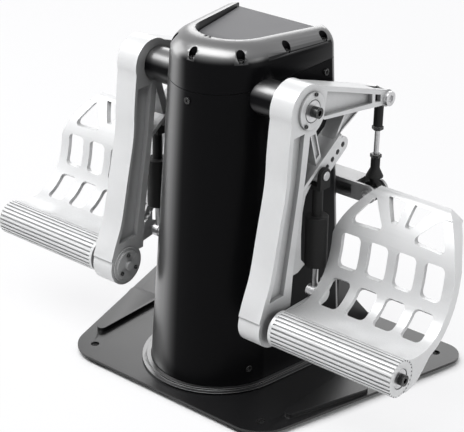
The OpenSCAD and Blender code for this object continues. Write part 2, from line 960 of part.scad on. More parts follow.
// Arm casting: head, limb, lower boss, horn and the braced rail, drawn from the shaft
// Each row: height, front edge and rear edge of the limb, as shares of the arm's drop
arm_edge_shares = [[-0.02, -0.138, 0.03], [-0.1, -0.150, 0.002], [-0.2, -0.162, -0.013],
    [-0.345, -0.175, -0.036], [-0.563, -0.228, -0.075], [-0.76, -0.277, -0.109],
    [-0.87, -0.325, -0.121], [-0.95, -0.358, -0.130]];
arm_rows = smooth(arm_edge_shares, 4) * arm_drop;
outer_groove_shares = [0.2, 0.7];
inner_groove_shares = [0.12, 0.74];
head_lead = 3;
module limb_outline() {
    polygon(concat([for (r = arm_rows) [r[1], r[0]]], reversed([for (r = arm_rows) [r[2], r[0]]])));
}

module groove_outline(shares) {
    rows = [for (r = arm_rows) if (r[0] < -head_r * 0.75 && r[0] > heel_z + boss_r + groove_t) r];
    front = [for (r = rows) [r[1] + (r[2] - r[1]) * shares[0], r[0]]];
    rear = [for (r = rows) [r[1] + (r[2] - r[1]) * shares[1], r[0]]];
    polygon(concat(front, reversed(rear)));
}

// Thin fin down the limb's rear, in line with the rail
fin_t = 2.4;
fin_shares = [[-0.06, -0.385], [0.04, -0.385], [-0.0025, -0.431], [-0.023, -0.507], [-0.031, -0.62],
    [-0.028, -0.75], [0.003, -0.786], [-0.05, -0.81], [-0.12, -0.81]];
module rear_fin() {
    along_x(damper_x - fin_t / 2, damper_x + fin_t / 2)
        polygon(fin_shares * arm_drop);
}

// Horn: a tapering beam from the head back to its tip
horn_slope = atan2(horn_fall - (head_r - horn_tip_r), horn_back + head_lead);
horn_low_share = 0.6;
horn_root_share = 0.17;
module horn_outline() {
    n = [sin(-horn_slope) * -1, cos(horn_slope)];
    top0 = [-head_lead, 0] + n * (head_r - side_gap);
    top1 = [horn_back, -horn_fall] + n * (horn_tip_r - side_gap);
    low1 = [horn_back - horn_tip_r, -horn_fall - horn_tip_r * horn_low_share];
    low0 = [horn_back * horn_root_share, -head_r * horn_low_share];
    polygon([[0, 0], top0, top1, [horn_back, -horn_fall], low1, low0]);
}

// The horn's pocket, as shares of the horn's length, and the window before its fork
horn_edge = 5;
horn_pocket_shares = [[0.2, 0.094], [0.45, 0.01], [0.79, -0.109], [0.79, -0.185], [0.16, -0.098]];
horn_window_shares = [[0.83, -0.122], [0.905, -0.148], [0.905, -0.205], [0.83, -0.19]];
module horn_pocket() {
    polygon(horn_pocket_shares * horn_back);
}

module horn_window() {
    polygon(horn_window_shares * horn_back);
}

// Rail: five holes in a line, u along the rail and v across it, from the damper's bolt
function rail_point(u, v) =
    [damper_back + u * cos(rail_slope) - v * sin(rail_slope),
     -damper_drop + u * sin(rail_slope) + v * cos(rail_slope)];
rail_r = 7.8;
rail_t = 8;
rail_flange_t = 4;
rail_holes = 5;
rail_hole_r = 2.6;
rail_reach = 31;
rail_in = 84;
strut_edge = 2.5;
rail_len = rail_pitch * (rail_holes - 1);
module rail_bar() {
    difference() {
        union() {
            polygon([rail_point(0, -rail_r), rail_point(rail_len, -rail_r),
                rail_point(rail_len, rail_r + side_gap), rail_point(0, rail_r + side_gap)]);
            translate(rail_point(0, 0))
                circle(r = rail_r);
            translate(rail_point(rail_len, 0))
                circle(r = rail_r);
        }
        for (i = [0:rail_holes - 1])
            translate(rail_point(i * rail_pitch, 0))
                circle(r = rail_hole_r + run_gap);
    }
}

module rail_flange() {
    low = rail_r;
    high = rail_r + rail_flange_t;
    polygon([rail_point(-rail_reach, low), rail_point(rail_len + rail_r / 2, low),
        rail_point(rail_len + rail_r / 2, high), rail_point(-rail_reach, high)]);
}

strut_w = 9;
strut_web = 2;
strut_high = rail_r + rail_flange_t / 2;
strut_quads = [
    [[head_r * 0.1, -head_r * 0.8], [head_r * 0.1 + strut_w, -head_r * 0.8],
        rail_point(strut_w, strut_high), rail_point(0, strut_high)],
    [[horn_back * 0.5, -head_r * 0.64], [horn_back * 0.74, -head_r * 0.84],
        rail_point(rail_len + rail_r / 2, strut_high), rail_point(rail_len - strut_w, strut_high)]];
function middle(q) = (q[0] + q[1] + q[2] + q[3]) / 4;
function shrunk(q, share) = [for (p = q) middle(q) + (p - middle(q)) * share];
module struts() {
    for (quad = strut_quads)
        polygon(quad);
}

// Seats in the arm for the bearings and the pivot flange
arm_bore_r = 14;
flange_r = 17.5;
flange_seat = 1;
fork_w = 10.4;
module arm_casting() {
    tip = [0, horn_back, -horn_fall];
    rail_face = damper_x + rail_t / 2;
    color(silver)
        at_shaft()
            difference() {
                union() {
                    along_x(arm_in, arm_out)
                        union() {
                            limb_outline();
                            translate([-head_lead, 0])
                                circle(r = head_r);
                            translate([heel_y, heel_z])
                                circle(r = boss_r);
                            horn_outline();
                            translate([horn_back, -horn_fall])
                                circle(r = horn_tip_r);
                        }
                    along_x(rail_in, rail_face)
                        rail_flange();
                    along_x(damper_x - rail_t / 2, rail_face)
                        rail_bar();
                    along_x(rail_in + strut_edge, rail_face - strut_edge)
                        struts();
                    rear_fin();
                }
                along_x(arm_in - over, arm_in + groove_t)
                    groove_outline(inner_groove_shares);
                along_x(arm_out - groove_t, arm_out + over)
                    groove_outline(outer_groove_shares);
                along_x(arm_out - horn_edge, arm_out + over)
                    horn_pocket();
                along_x(arm_in - over, arm_in + horn_edge)
                    horn_pocket();
                along_x(rod_x, arm_out + over)
                    horn_window();
                for (strut = strut_quads)
                    along_x(rail_face - strut_edge - strut_web, rail_face)
                        polygon(shrunk(strut, 0.62));
                bar_x(arm_bore_r, arm_in - over, arm_out + over);
                bar_x(flange_r + side_gap, arm_out - flange_seat, arm_out + over);
                translate([0, heel_y, heel_z])
                    bar_x(axle_r + seat_gap, arm_in - over, arm_out + over);
                translate(tip)
                    bar_x(horn_pin_r + seat_gap, arm_in - over, arm_out + over);
                box([rod_x - fork_w / 2, horn_back - 2 * horn_tip_r, -horn_fall - 4 * horn_tip_r],
                    [rod_x + fork_w / 2, horn_back + 2 * horn_tip_r, 0]);
                for (a = flange_screw_angles)
                    rotate([a, 0, 0])
                        translate([0, flange_screw_pcr, 0])
                            bar_x(small_screw_r + seat_gap, arm_out - small_screw_l, arm_out + over);
            }
}

// Bearings in the arm's head
arm_bearing_t = 8;
module arm_bearings() {
    color(steel)
        at_shaft()
            for (x0 = [arm_in, arm_out - flange_seat - arm_bearing_t])
                difference() {
                    bar_x(arm_bore_r - seat_gap, x0, x0 + arm_bearing_t);
                    bar_x(shaft_r + run_gap, x0 - over, x0 + arm_bearing_t + over);
                }
}

// Pivot flange: the ring that holds the bearings in, with four small screws
flange_cover_t = 3.2;
flange_bore_r = 10.8;
flange_screw_angles = [77, 228];
flange_screw_pcr = 15.5;
small_screw_r = 1.25;
small_screw_l = 6;
small_head_r = 1.9;
small_head_h = 1.6;
module pivot_flange() {
    color(silver)
        at_shaft()
            difference() {
                bar_x(flange_r, arm_out - flange_seat, arm_out - flange_seat + flange_cover_t);
                bar_x(flange_bore_r, arm_out - over, arm_out + over * 2);
                for (a = flange_screw_angles)
                    rotate([a, 0, 0])
                        translate([0, flange_screw_pcr, 0])
                            bar_x(small_screw_r + seat_gap, arm_out - over, arm_out + over * 2);
            }
}

// Heel axle: fixed in the arm's lower boss, and the heel bar turns on it
end_recess = 3.5;
end_washer_r = 9;
axle_end = plate_out - end_recess + side_gap;
module heel_axle() {
    color(steel)
        at_heel()
            difference() {
                bar_x(axle_r, arm_in, axle_end);
                bar_x(end_screw_r + seat_gap, axle_end - end_screw_l, axle_end + over);
            }
}

// Cover on the arm's inner face, over the axle's end
cover_r = 18;
cover_t = 3;
cover_screw_pcr = 11;
cover_bolt_r = 4.5;
cover_screw_angles = [90, 210, 330];
module axle_cover() {
    color(silver)
        at_heel()
            difference() {
                union() {
                    bar_x(cover_r, arm_in - cover_t / 2, arm_in);
                    bar_x(cover_r - cover_t, arm_in - cover_t, arm_in);
                    bar_x(cover_bolt_r, arm_in - 2 * cover_t, arm_in);
                }
                for (a = cover_screw_angles)
                    rotate([a, 0, 0])
                        translate([0, cover_screw_pcr, 0])
                            bar_x(small_screw_r + seat_gap, arm_in - 2 * cover_t, arm_in + over);
            }
}

// Pin through the horn's fork, with its screw head outside
module horn_pin() {
    color(steel)
        at_shaft()
            translate([arm_out, horn_back, -horn_fall])
                socket_screw(horn_tip_r - rod_r / 2, rail_flange_t, horn_pin_r, arm_t);
}

// Screws of the pivot flange and the axle cover, and the end screw and washer of the heel axle
module arm_screws() {
    color(steel) {
        at_shaft()
            for (a = flange_screw_angles)
                rotate([a, 0, 0])
                    translate([arm_out - flange_seat + flange_cover_t, flange_screw_pcr, 0])
                        socket_screw(small_head_r, small_head_h, small_screw_r, small_screw_l - over);
        at_heel() {
            for (a = cover_screw_angles)
                rotate([a, 0, 0])
                    translate([arm_in - cover_t, cover_screw_pcr, 0])
                        mirror([1, 0, 0])
                            socket_screw(small_head_r, small_head_h, small_screw_r, cover_t);
            difference() {
                bar_x(end_washer_r, axle_end, axle_end + washer_t);
                bar_x(end_screw_r + seat_gap, axle_end - over, axle_end + washer_t + over);
            }
            translate([axle_end + washer_t, 0, 0])
                socket_screw(end_head_r, end_head_h - over, end_screw_r, end_screw_l - over);
        }
    }
}

// Push rods: from the horn's pin down to the rocker's bolt
rod_eye_r = 10;
rod_eye_bore_r = 7.4;
rod_eye_t = 8;
top_eye_r = 7.6;
rod_end_r = 4.6;
rod_top_end = 30;
rod_low_end = 34;
boot_r = 8.5;
boot_z = 14.5;
boot_h = 9;
rod_offset_y = 2.5;
rod_offset_z = 0.5;
rod_tip_y = horn_back;
rod_low_y = rocker_back + rod_offset_y;
rod_fall = rocker_drop - horn_fall + rod_offset_z;
rod_tilt = atan2(rod_tip_y - rod_low_y, rod_fall);
module along_rod() {
    translate([rod_x, shaft_y + rod_tip_y, shaft_z - horn_fall])
        rotate([-rod_tilt, 0, 0])
            children();
}

module push_rod() {
    l = rod_fall / cos(rod_tilt);
    color(steel)
        along_rod()
            bar_z(rod_r, -l + rod_low_end - rod_end_r, -rod_top_end + rod_end_r);
}

module rod_ends() {
    l = rod_fall / cos(rod_tilt);
    eye_side = fork_w - 2 * side_gap;
    color(black)
        along_rod() {
            difference() {
                union() {
                    bar_x(top_eye_r, -eye_side / 2, eye_side / 2);
                    bar_z(rod_end_r, -rod_top_end, -top_eye_r / 2);
                    translate([0, 0, -rod_top_end])
                        cylinder(r = rod_end_r + side_gap, h = rod_end_r, $fn = 6);
                }
                bar_x(horn_pin_r + run_gap, -fork_w, fork_w);
                bar_z(rod_r + seat_gap, -rod_top_end - over, -rod_top_end + rod_end_r);
            }
            translate([0, 0, -l])
                difference() {
                    union() {
                        bar_y(rod_eye_r, -rod_eye_t / 2, rod_eye_t / 2);
                        bar_z(rod_end_r, rod_eye_bore_r, rod_low_end);
                        translate([0, 0, boot_z])
                            rotate_extrude()
                                polygon([[0, 0], [boot_r, 0], [boot_r, over / 2], [rod_end_r, boot_h], [0, boot_h]]);
                        translate([0, 0, rod_low_end - rod_end_r])
                            cylinder(r = rod_end_r + side_gap, h = rod_end_r, $fn = 6);
                    }
                    bar_y(rod_eye_bore_r, -rod_eye_t, rod_eye_t);
                    bar_z(rod_r + seat_gap, rod_low_end - rod_end_r, rod_low_end + over);
                }
        }
}

// Foot plate: its side profile from the heel bar up to the crest, as shares of plate_h
plate_profile_shares = [[0.05, 0.147], [0.13, 0.113], [0.24, 0.096], [0.34, 0.102], [0.43, 0.135],
    [0.51, 0.19], [0.58, 0.27], [0.635, 0.37], [0.667, 0.47], [0.682, 0.56], [0.70, 0.65],
    [0.745, 0.745], [0.815, 0.84], [0.89, 0.925], [0.94, 0.97], [0.985, 0.99]];
plate_front = smooth(plate_profile_shares, 3) * plate_h;
// Lower edge of the side webs, from the heel bar back and up to the plate
web_profile_shares = [[0.0, -0.14], [0.12, -0.155], [0.26, -0.1], [0.5, 0.13], [0.66, 0.27],
    [0.745, 0.4], [0.765, 0.52]];
web_low = smooth(web_profile_shares, 4) * plate_h;

module plate_band(depth) {
    polygon(concat(plate_front, reversed(beside(plate_front, -depth))));
}

module web_outline() {
    front = [for (p = plate_front) if (p.y < plate_h * 0.52) p];
    polygon(concat([[0, 0]], front, reversed(web_low)));
}

// Front view of the plate: its right edge from the shoulder in to the crest
plate_edge_shares = [[0.5, 0.6], [0.482, 0.67], [0.45, 0.755], [0.412, 0.83], [0.378, 0.88], [0.348, 0.924],
    [0.318, 0.958], [0.285, 0.99]];
module plate_front_outline(inset) {
    edge = [for (p = smooth(plate_edge_shares, 3)) [p.x * (plate_w - 2 * inset), p.y * plate_h - inset]];
    top = inset > 0 ? [] : [[edge[len(edge) - 1].x, plate_h + over]];
    right = concat([[plate_w / 2 - inset, -plate_h]], edge, top);
    polygon(concat(right, [for (p = reversed(right)) [-p.x, p.y]]));
}

// Openings: four in each of two rows, and a fan of four above
cell_corner_r = 4.8;
module cells(z0, z1) {
    for (i = [-1.5:1:1.5])
        translate([i * cell_pitch, 0])
            polygon(rounded([[-cell_w / 2, z0], [cell_w / 2, z0], [cell_w / 2, z1], [-cell_w / 2, z1]],
                cell_corner_r, 5));
}

fan_corner_r = 3.4;
fan_side_shares = [[0.105, 0.728], [0.398, 0.712], [0.272, 0.94]];
fan_top_shares = [[0.03, 0.805], [0.08, 0.805], [0.19, 0.968], [0.03, 0.978]];
module fan() {
    both_sides() {
        polygon(rounded([for (p = fan_side_shares) [p.x * plate_w, p.y * plate_h]], fan_corner_r, 5));
        polygon(rounded([for (p = fan_top_shares) [p.x * plate_w, p.y * plate_h]], fan_corner_r / 2, 5));
    }
}

cell_slope = 45;
low_cell_h = 30;
row_high_shares = [0.345, 0.632];
low_cell_shares = [0.445, 0.215];
module plate_lattice() {
    difference() {
        intersection() {
            along_x(plate_in, plate_out)
                plate_band(plate_t);
            translate([plate_x, 0, 0])
                along_y(-plate_h, plate_h * 2)
                    plate_front_outline(0);
        }
        translate([plate_x, 0, 0]) {
            along_y(0, plate_h * 2)
                cells(plate_h * row_high_shares[0], plate_h * row_high_shares[1]);
            along_y(0, plate_h * 2)
                fan();
            translate([0, plate_h * low_cell_shares[0], plate_h * low_cell_shares[1]])
                rotate([-cell_slope, 0, 0])
                    along_y(-plate_t * 2, plate_t * 3)
                        cells(-low_cell_h / 2, low_cell_h / 2);
        }
    }
}

module plate_rim() {
    intersection() {
        along_x(plate_in, plate_out)
            plate_band(rim_d);
        translate([plate_x, 0, 0])
            along_y(-plate_h, plate_h * 2)
                difference() {
                    plate_front_outline(0);
                    plate_front_outline(rim_t);
                }
    }
    for (x0 = [plate_in, plate_out - rim_t])
        along_x(x0, x0 + rim_t)
            web_outline();
}

module footplate() {
    color(silver)
        at_heel()
            difference() {
                union() {
                    plate_lattice();
                    plate_rim();
                }
                bar_x(heel_r + seat_gap, plate_in - over, plate_out + over);
            }
}

// Heel bar: a ribbed roller that the plate is fixed to
heel_ribs = 26;
rib_w = 1.5;
rib_t = 1.3;
collar_w = 3.5;
module ribbed_circle() {
    difference() {
        circle(r = heel_r, $fn = 96);
        for (i = [0:heel_ribs - 1])
            rotate(i * 360 / heel_ribs)
                translate([heel_r - rib_t, -rib_w / 2])
                    square([rib_t + over, rib_w]);
    }
}

module heel_bar() {
    color(silver)
        at_heel()
            difference() {
                union() {
                    bar_x(heel_r, plate_in, plate_in + collar_w);
                    along_x(plate_in, plate_out)
                        ribbed_circle();
                }
                bar_x(axle_r + run_gap, plate_in - over, plate_out + over);
                bar_x(end_washer_r + side_gap * 2, plate_out - end_recess, plate_out + over);
            }
}

// Brake lever: a plate on the foot plate's inner side that pulls the damper
lever_t = 3.8;
lever_back = 68;
lever_rise = 6;
lever_eye_r = 8;
lever_hub_r = 12;
lever_notches = 5;
notch_r = 1.3;
module brake_lever() {
    eye = [lever_back, lever_rise];
    crest = [plate_h * 0.6, plate_h * 0.22];
    notch_from = [plate_h * 0.45, plate_h * 0.1];
    color(silver)
        at_heel()
            difference() {
                along_x(plate_in - lever_t - seat_gap, plate_in - seat_gap)
                    union() {
                        circle(r = lever_hub_r);
                        translate(eye)
                            circle(r = lever_eye_r);
                        polygon([[0, -lever_hub_r], eye - [0, lever_eye_r], eye + [0, lever_eye_r],
                            crest, notch_from, [0, lever_hub_r]]);
                    }
                bar_x(axle_r + run_gap, arm_out, plate_in + over);
                translate([0, eye.x, eye.y])
                    bar_x(lever_bolt_r + seat_gap, arm_out, plate_in + over);
                for (i = [0:lever_notches - 1])
                    let (p = notch_from + (crest - notch_from) * i / (lever_notches - 1))
                        translate([0, p.x, p.y])
                            bar_x(notch_r, arm_out, plate_in + over);
                for (share = [0.35, 0.5, 0.65])
                    translate([0, eye.x * share, eye.y * share])
                        bar_x(rail_hole_r, arm_out, plate_in + over);
            }
}

// Bolt from the lever through the damper's lower eye, with room for the eye's drift
lever_bolt_r = 2.5;
module lever_bolt() {
    eye_in = damper_x - eye_t / 2;
    color(steel)
        at_heel()
            translate([0, lever_back, lever_rise])
                union() {
                    bar_x(lever_bolt_r, eye_in - washer_t, plate_in);
                    bar_x(lever_bolt_r * 2.4, eye_in - washer_t - side_gap, eye_in - side_gap * 2);
                }
}

// Damper: clevis on the rail, black body, and a rod that draws out when the toes press
clevis_ear_t = 4;
clevis_r = 7.4;
clevis_drop = 9.5;
body_top = 42;
body_bottom = 93;
eye_t = 7;
eye_r = 6.6;
eye_bore_r = 3.9;
damper_len = norm([damper_back - (lever_back + heel_y), -damper_drop - (lever_rise + heel_z)]);
damper_tilt = atan2(lever_back + heel_y - damper_back, -damper_drop - (lever_rise + heel_z));
module along_damper() {
    at_damper()
        rotate([damper_tilt, 0, 0])
            children();
}

module damper_clevis() {
    inner = rail_t / 2 + side_gap;
    outer = inner + clevis_ear_t;
    color(black)
        along_damper()
            difference() {
                union() {
                    along_x(-outer, outer)
                        union() {
                            circle(r = clevis_r);
                            translate([-clevis_r, -clevis_drop - clevis_ear_t])
                                square([2 * clevis_r, clevis_drop + clevis_ear_t]);
                        }
                }
                box([-inner, -2 * clevis_r, -clevis_drop], [inner, 2 * clevis_r, 2 * clevis_r]);
                bar_x(rail_hole_r + seat_gap, -outer - over, outer + over);
            }
}

module damper_body() {
    stem_r = 5;
    cap_t = 4;
    inner_r = damper_r - wall / 2;
    color(black)
        along_damper() {
            difference() {
                union() {
                    bar_z(stem_r, -body_top - over, -clevis_drop - clevis_ear_t);
                    bar_z(damper_r, -body_bottom, -body_top);
                }
                bar_z(inner_r, -body_bottom + cap_t, -body_top - cap_t);
                bar_z(damper_rod_r + run_gap, -body_bottom - over, -body_top - cap_t);
            }
            clevis_bolt();
        }
}

// The clevis bolt turns in the rail's hole
module clevis_bolt() {
    outer = rail_t / 2 + side_gap + clevis_ear_t;
    bar_x(rail_hole_r, -outer, outer);
    bar_x(rail_hole_r * 1.7, outer, outer + small_head_h);
    bar_x(rail_hole_r * 1.7, -outer - small_head_h, -outer);
}

damper_rod_r = 3;
piston_t = 5;
module damper_rod() {
    color(steel)
        along_damper()
            difference() {
                union() {
                    bar_z(damper_rod_r, -damper_len + eye_r / 2, -body_top - piston_t);
                    bar_z(damper_r - wall / 2 - side_gap, -body_top - piston_t * 2, -body_top - piston_t);
                    translate([0, 0, -damper_len])
                        bar_x(eye_r, -eye_t / 2, eye_t / 2);
                }
                translate([0, 0, -damper_len])
                    bar_x(eye_bore_r, -eye_t, eye_t);
            }
}

module brake_spring() {
    cap_t = 4;
    color(steel)
        along_damper()
            difference() {
                bar_z(damper_r - wall, -body_bottom + cap_t, -body_top - piston_t * 2);
                bar_z(damper_rod_r + 2 * side_gap, -body_bottom, -body_top);
            }
}

base_plate();
rubber_feet();
foot_ring();
rear_braces();
brace_bolts();
column_shell();
top_cap();
top_panel();
rear_panel();
casing_screws();
chassis_frame();
pivot_shaft();
shaft_sleeves();
shaft_screws();
rocker_bracket();
rocker_bearings();
centring_spring();
sensor_board();
cable_socket();
swing_stops();
rocker_beam();
rocker_axle();
rocker_screw();
rod_bolts();
sensor_magnet();
arm_casting();  // right_arm
arm_bearings();  // right_arm_bearings
pivot_flange();  // right_pivot_flange
heel_axle();  // right_heel_axle
axle_cover();  // right_axle_cover
horn_pin();  // right_horn_pin
arm_screws();  // right_arm_screws
on_left() arm_casting();  // left_arm
on_left() arm_bearings();  // left_arm_bearings
on_left() pivot_flange();  // left_pivot_flange
on_left() heel_axle();  // left_heel_axle
on_left() axle_cover();  // left_axle_cover
on_left() horn_pin();  // left_horn_pin
on_left() arm_screws();  // left_arm_screws
push_rod();  // right_push_rod
rod_ends();  // right_rod_ends
on_left() push_rod();  // left_push_rod
on_left() rod_ends();  // left_rod_ends
footplate();  // right_footplate
heel_bar();  // right_heel_bar
brake_lever();  // right_brake_lever
lever_bolt();  // right_lever_bolt
on_left() footplate();  // left_footplate
on_left() heel_bar();  // left_heel_bar
on_left() brake_lever();  // left_brake_lever
on_left() lever_bolt();  // left_lever_bolt
damper_body();  // right_damper_body
damper_clevis();  // right_damper_clevis
damper_rod();  // right_damper_rod
brake_spring();  // right_brake_spring
on_left() damper_body();  // left_damper_body
on_left() damper_clevis();  // left_damper_clevis
on_left() damper_rod();  // left_damper_rod
on_left() brake_spring();  // left_brake_spring
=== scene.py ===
"""Looks of flight simulator rudder pedals: castings, powder coat, machined steel and rubber.

Every size is in metres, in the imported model's own frame: X right, Y away from the user, Z up.
"""

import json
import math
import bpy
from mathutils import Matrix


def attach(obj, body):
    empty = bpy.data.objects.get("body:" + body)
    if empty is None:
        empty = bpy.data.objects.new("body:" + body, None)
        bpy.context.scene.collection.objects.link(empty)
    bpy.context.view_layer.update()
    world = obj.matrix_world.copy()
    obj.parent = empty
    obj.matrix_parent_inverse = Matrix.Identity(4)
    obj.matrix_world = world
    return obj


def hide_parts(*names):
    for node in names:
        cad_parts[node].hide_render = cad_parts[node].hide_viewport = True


bl_info = {
    "name": "Rudder pedal looks",
    "version": (1, 0, 0),
    "blender": (4, 5, 0),
    "location": "3D View > Sidebar > Pedals",
    "description": "Dresses packed rudder pedals with rounded castings, coats, rubber and a studio",
    "category": "Object",
}

import bmesh
import bpy
import numpy as np
from mathutils import Matrix, Vector

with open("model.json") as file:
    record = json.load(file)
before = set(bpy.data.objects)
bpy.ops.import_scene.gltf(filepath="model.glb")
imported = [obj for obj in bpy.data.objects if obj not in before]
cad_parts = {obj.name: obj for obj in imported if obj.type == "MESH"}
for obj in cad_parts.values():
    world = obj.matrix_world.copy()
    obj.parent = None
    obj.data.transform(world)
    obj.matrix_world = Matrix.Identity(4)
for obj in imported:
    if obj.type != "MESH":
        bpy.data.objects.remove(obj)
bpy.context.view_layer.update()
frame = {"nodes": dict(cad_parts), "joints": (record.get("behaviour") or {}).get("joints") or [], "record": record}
NODES = frame["nodes"]
BODIES = frame["record"]["behaviour"]["bodies"]
BODY_OF = {node: body for body, nodes in BODIES.items() for node in nodes}
JOINTS = {joint["name"]: joint for joint in frame["joints"]}
HORN_TIP = np.array(JOINTS["right_rod_turn"]["pos_m"], float)
SIDES = (("right", 1.0), ("left", -1.0))

# Edges sharper than this, in degrees, stay crisp or are rounded
SHARP_ANGLE = 40.0

# How far the edges of each kind of piece are rounded
COVER_EDGE = 0.0006
TRIM_EDGE = 0.0005
SMALL_EDGE = 0.0004
SCREW_EDGE = 0.0003
FINE_EDGE = 0.0002

# Rays that a material sends out to find edges and hollows
PROBE_RAYS = 4

# The coat of lacquer on the column's crown and flanks
COAT_ROUGHNESS = 0.3
COAT_IOR = 2.3


# Shader nodes written as expressions

class Signal:
    """A shader socket in an expression: each operator adds one Math node to its finish."""

    def __init__(self, finish, socket):
        self.finish = finish
        self.socket = socket

    def maths(self, operation, *values, clamp=False):
        """One Math node of the values in their order, each a socket or a number."""
        settings = {"operation": operation, "use_clamp": clamp}
        return self.finish.node("ShaderNodeMath", settings, dict(enumerate(values)))

    def __add__(self, other):
        return self.maths("ADD", self, other)

    __radd__ = __add__

    def __mul__(self, other):
        return self.maths("MULTIPLY", self, other)

    __rmul__ = __mul__

    def __sub__(self, other):
        return self.maths("SUBTRACT", self, other)

    def __rsub__(self, other):
        return self.maths("SUBTRACT", other, self)

    def clipped(self):
        """The value held between 0 and 1."""
        return self.maths("MULTIPLY", self, 1.0, clamp=True)

    def between(self, low, high):
        """0 at low, 1 at high, smooth between them and level outside."""
        settings = {"interpolation_type": "SMOOTHSTEP"}
        values = {"Value": self, "From Min": low, "From Max": high}
        return self.finish.node("ShaderNodeMapRange", settings, values)


class Shading:
    """A node tree that is being built: every node in it comes from one method."""

    def __init__(self, tree):
        self.tree = tree
        tree.nodes.clear()

    def node(self, kind, settings=None, values=None, output=0):
        """Adds a node: settings first, then a value or link for each socket, by name or number."""
        node = self.tree.nodes.new(kind)
        for key, value in (settings or {}).items():
            setattr(node, key, value)
        for key, value in (values or {}).items():
            socket = node.inputs[key]
            if isinstance(value, Signal):
                self.tree.links.new(value.socket, socket)
            else:
                socket.default_value = value
        return Signal(self, node.outputs[output] if len(node.outputs) else None)

    def ends(self, kind, shader):
        """Shows a shader through the tree's output node."""
        self.node(kind, values={"Surface": shader})

    def seen(self):
        """1 for what is seen straight, mirrored or through glass, 0 for light on other things."""
        camera, glossy, through = (self.node("ShaderNodeLightPath", output=f"Is {kind} Ray")
                                   for kind in ("Camera", "Glossy", "Transmission"))
        return (camera + glossy + through).clipped()


class Finish(Shading):
    """A node material that is being built: its usual patterns and its shader."""

    def __init__(self, name):
        self.material = bpy.data.materials.new(name)
        self.material.use_nodes = True
        super().__init__(self.material.node_tree)

    def place(self):
        """The point on the surface, in metres."""
        return self.node("ShaderNodeTexCoord", output="Object")

    def noise(self, scale, detail=3.0, roughness=0.5, stretch=None):
        """Smooth noise from 0 to 1 at a scale per metre, stretched along the axes if asked."""
        spot = self.place()
        if stretch:
            spot = self.node("ShaderNodeMapping", values={"Vector": spot, "Scale": stretch})
        return self.node("ShaderNodeTexNoise", values={
            "Vector": spot, "Scale": scale, "Detail": detail, "Roughness": roughness})

    def cells(self, scale):
        """Distance to the nearest of many scattered points, for pores and grain."""
        return self.node("ShaderNodeTexVoronoi", values={"Vector": self.place(), "Scale": scale})

    def mix(self, share, first, second):
        """Colour that goes from first to second with share."""
        values = {0: share, 6: first, 7: second}
        return self.node("ShaderNodeMix", {"data_type": "RGBA"}, values, output=2)

    def upward(self, low, high):
        """0 on faces whose normal rises less than low, 1 from high on."""
        normal = self.node("ShaderNodeNewGeometry", output="Normal")
        rise = self.node("ShaderNodeSeparateXYZ", values={"Vector": normal}, output="Z")
        return rise.between(low, high)

    def slanting(self, low, high):
        """0 on faces seen straight on, 1 on those that are seen at a slant, as a sheen needs it."""
        return self.node("ShaderNodeLayerWeight", output="Facing").between(low, high)

    def hollow(self, reach):
        """1 deep in corners and grooves narrower than reach, 0 in the open."""
        settings = {"samples": PROBE_RAYS}
        open_share = self.node("ShaderNodeAmbientOcclusion", settings, {"Distance": reach}, "AO")
        return (1.0 - open_share).between(0.06, 0.5)

    def edges(self, width):
        """1 on convex and hollow edges within width of them, 0 on flat faces."""
        rounded = self.node("ShaderNodeBevel", {"samples": PROBE_RAYS}, {"Radius": width})
        plain = self.node("ShaderNodeNewGeometry", output="Normal")
        same = self.node("ShaderNodeVectorMath", {"operation": "DOT_PRODUCT"},
                         {0: rounded, 1: plain}, "Value")
        return (1.0 - same).between(0.01, 0.25)

    def bump(self, height, distance, strength):
        """A normal tilted by a height pattern of the given depth in metres."""
        return self.node("ShaderNodeBump", values={
            "Height": height, "Distance": distance, "Strength": strength})

    def shade(self, colour, roughness, metallic, normal, coat=0.0, specular=0.5):
        """Ends the material in one Principled shader."""
        shader = self.node("ShaderNodeBsdfPrincipled", values={
            "Base Color": colour, "Roughness": roughness, "Metallic": metallic, "Normal": normal,
            "Coat Weight": coat, "Coat Roughness": COAT_ROUGHNESS, "Coat IOR": COAT_IOR,
            "Specular IOR Level": specular})
        self.ends("ShaderNodeOutputMaterial", shader)
        return self.material


def grey(value):
    """A neutral colour, a trace cooler than plain grey."""
    return (value, value, value * 1.01, 1.0)


def solid(colour):
    """A colour of three numbers as the four that a socket takes."""
    return tuple(colour) + (1.0,)


def toned(colour, factor, lift=0.0):
    """The colour made darker or lighter by a factor, and then lifted."""
    return solid(min(1.0, c * factor + lift) for c in colour[:3])


def cast_alloy(name, colour, edge_wear_and_highlight=0.5):
    """Satin light alloy: sand grain, clouding, edges paler from polish and a painted highlight, painted shade in
    hollows.
    """
    finish = Finish(name)
    cloud = finish.noise(14.0, 4.0)
    grain = finish.noise(1500.0, 2.0, 0.6)
    edge = finish.edges(0.0012)
    base = finish.mix(cloud.between(0.35, 0.65), toned(colour, 0.93), colour)
    # Paler edges: partly polished by use, partly a painted highlight
    base = finish.mix(edge * edge_wear_and_highlight, base, toned(colour, 1.08))
    # Painted shade: hollows and grooves found by ambient occlusion are darkened, narrow ones strongly, wide ones
    # softly
    base = finish.mix(finish.hollow(0.02) * 0.75, base, toned(colour, 0.16))
    base = finish.mix(finish.hollow(0.09) * 0.45, base, toned(colour, 0.4))
    rough = 0.24 + grain * 0.1 + cloud * 0.06 - edge * 0.06
    return finish.shade(base, rough, 0.2, finish.bump(grain, 0.00006, 0.5))


